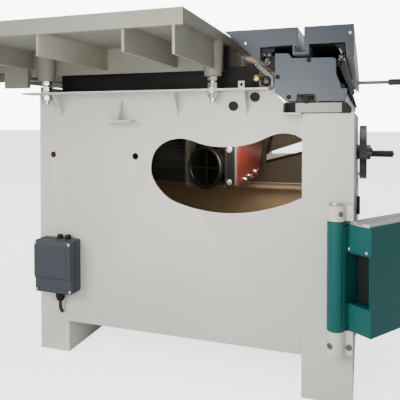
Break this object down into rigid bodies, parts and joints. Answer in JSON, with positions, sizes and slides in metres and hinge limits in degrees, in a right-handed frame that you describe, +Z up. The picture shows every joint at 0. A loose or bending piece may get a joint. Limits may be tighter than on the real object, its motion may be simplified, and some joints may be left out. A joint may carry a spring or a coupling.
{
  "type": "sliding table saw",
  "caption": "Sliding-table panel saw with a steel cabinet, cast tables, tilting and lifting saw unit, sliding table on a base rail, and a telescopic swing arm.",
  "frame": {"origin": "on the floor, in the middle of the machine's footprint at rest", "axes": "+Z up, +X towards the sliding table side, +Y towards the infeed end, so the rear panel and the dust port face -Y"},
  "size_m": [1.713, 1.585, 0.93],
  "materials": {
    "cabinet_paint": "satin warm light grey powder coat",
    "cast_iron": "painted casting, machined top",
    "slate": "satin slate blue",
    "aluminium": "anodised",
    "teal_paint": "semi-gloss teal",
    "black_plastic": "matt",
    "starter_plastic": "fine texture",
    "red_paint": "semi-gloss",
    "steel": "ground",
    "dark_steel": "satin",
    "belt_rubber": "matt",
    "green_plastic": "gloss",
    "red_plastic": "gloss"
  },
  "bodies": {
    "frame": {"cabinet_shell": "cabinet_paint", "rear_panel": "cabinet_paint", "rail_column": "cabinet_paint", "front_column": "cabinet_paint", "rail_bracket_rear": "cabinet_paint", "access_cover": "cabinet_paint", "base_rail": "aluminium", "rail_cap_rear": "slate", "rail_cap_front": "slate", "rail_clamp_rear": "black_plastic", "guide_rod_left": "steel", "guide_rod_right": "steel", "main_table": "cast_iron", "extension_wing": "cast_iron", "table_insert": "aluminium", "table_stud_right": "steel", "table_stud_left": "steel", "starter_box_base": "starter_plastic", "starter_box_cover": "starter_plastic", "cable_gland": "black_plastic", "switch_box": "black_plastic", "arm_bracket_upper": "cabinet_paint", "arm_bracket_lower": "cabinet_paint", "hinge_pin": "steel", "trunnion_bracket_rear": "cast_iron", "trunnion_bracket_front": "cast_iron"},
    "cover_latch": {"cover_latch": "black_plastic"},
    "slide_table": {"sliding_table": "aluminium", "table_cap_rear": "slate", "table_cap_front": "slate"},
    "start_button": {"start_button": "green_plastic"},
    "stop_button": {"stop_button": "red_plastic"},
    "swing_arm": {"swing_arm": "teal_paint", "arm_top_rail": "aluminium"},
    "inner_arm": {"inner_arm": "dark_steel"},
    "tilt_unit": {"trunnion_rear": "cast_iron", "trunnion_front": "cast_iron", "tilt_frame": "cast_iron", "scoring_housing": "cast_iron"},
    "scoring": {"scoring_blade": "steel"},
    "lift_unit": {"lift_carriage": "cast_iron", "arbor_housing": "cast_iron", "drive_belt": "belt_rubber", "motor_body": "black_plastic", "blade_housing": "red_paint", "housing_cover": "red_paint", "dust_port": "black_plastic", "riving_knife": "steel", "knife_holder": "dark_steel"},
    "blade": {"main_blade": "steel", "arbor_shaft": "steel", "arbor_pulley": "dark_steel"},
    "motor_rotor": {"motor_pulley": "dark_steel"},
    "tilt_wheel": {"tilt_handwheel": "dark_steel"},
    "tilt_grip": {"tilt_wheel_grip": "black_plastic"},
    "lift_wheel": {"lift_handwheel": "dark_steel"},
    "lift_grip": {"lift_wheel_grip": "black_plastic"},
    "lever": {"lock_lever": "steel", "lock_lever_grip": "black_plastic"}
  },
  "joints": [
    {"name": "table_slide", "type": "slide", "parent": "frame", "child": "slide_table", "axis": [0, 1, 0], "range_m": [-0.6, 0.6]},
    {"name": "blade_tilt", "type": "hinge", "parent": "frame", "child": "tilt_unit", "pos_m": [0.0375, -0.1025, 0.87], "axis": [0, -1, 0], "range_deg": [0, 45]},
    {"name": "blade_lift", "type": "slide", "parent": "tilt_unit", "child": "lift_unit", "axis": [0, 0, 1], "range_m": [-0.065, 0.035]},
    {"name": "blade_spin", "type": "hinge", "parent": "lift_unit", "child": "blade", "pos_m": [0.0235, -0.1025, 0.7725], "axis": [1, 0, 0], "continuous": true},
    {"name": "motor_spin", "type": "hinge", "parent": "lift_unit", "child": "motor_rotor", "pos_m": [-0.1005, -0.0525, 0.53], "axis": [1, 0, 0], "continuous": true},
    {"name": "scoring_spin", "type": "hinge", "parent": "tilt_unit", "child": "scoring", "pos_m": [0.0235, 0.1325, 0.812], "axis": [1, 0, 0], "continuous": true},
    {"name": "tilt_wheel_turn", "type": "hinge", "parent": "frame", "child": "tilt_wheel", "pos_m": [0.4035, -0.1175, 0.56], "axis": [1, 0, 0], "range_deg": [0, 1800]},
    {"name": "tilt_grip_spin", "type": "hinge", "parent": "tilt_wheel", "child": "tilt_grip", "pos_m": [0.4635, -0.1875, 0.56], "axis": [1, 0, 0], "continuous": true},
    {"name": "lift_wheel_turn", "type": "hinge", "parent": "frame", "child": "lift_wheel", "pos_m": [-0.0965, 0.2875, 0.6], "axis": [0, 1, 0], "range_deg": [-1170, 630]},
    {"name": "lift_grip_spin", "type": "hinge", "parent": "lift_wheel", "child": "lift_grip", "pos_m": [-0.1665, 0.3475, 0.6], "axis": [0, 1, 0], "continuous": true},
    {"name": "arm_swing", "type": "hinge", "parent": "frame", "child": "swing_arm", "pos_m": [0.3565, -0.5495, 0.3], "axis": [0, 0, 1], "range_deg": [-95, 0]},
    {"name": "arm_telescope", "type": "slide", "parent": "swing_arm", "child": "inner_arm", "axis": [0.6, 0.8, 0], "range_m": [0, 0.4]},
    {"name": "lever_turn", "type": "hinge", "parent": "frame", "child": "lever", "pos_m": [0.3935, -0.4525, 0.742], "axis": [0, -1, 0], "range_deg": [0, 60]},
    {"name": "latch_turn", "type": "hinge", "parent": "frame", "child": "cover_latch", "pos_m": [0.3955, -0.3795, 0.43], "axis": [1, 0, 0], "range_deg": [0, 90]},
    {"name": "start_press", "type": "slide", "parent": "frame", "child": "start_button", "axis": [0, -1, 0], "range_m": [0, 0.004]},
    {"name": "stop_press", "type": "slide", "parent": "frame", "child": "stop_button", "axis": [0, -1, 0], "range_m": [0, 0.003]}
  ],
  "couplings": [
    {"joint": "motor_spin", "follows": "blade_spin", "ratio": 0.66667},
    {"joint": "tilt_wheel_turn", "follows": "blade_tilt", "ratio": 40},
    {"joint": "lift_wheel_turn", "follows": "blade_lift", "rad_per_m": 314.16}
  ]
}
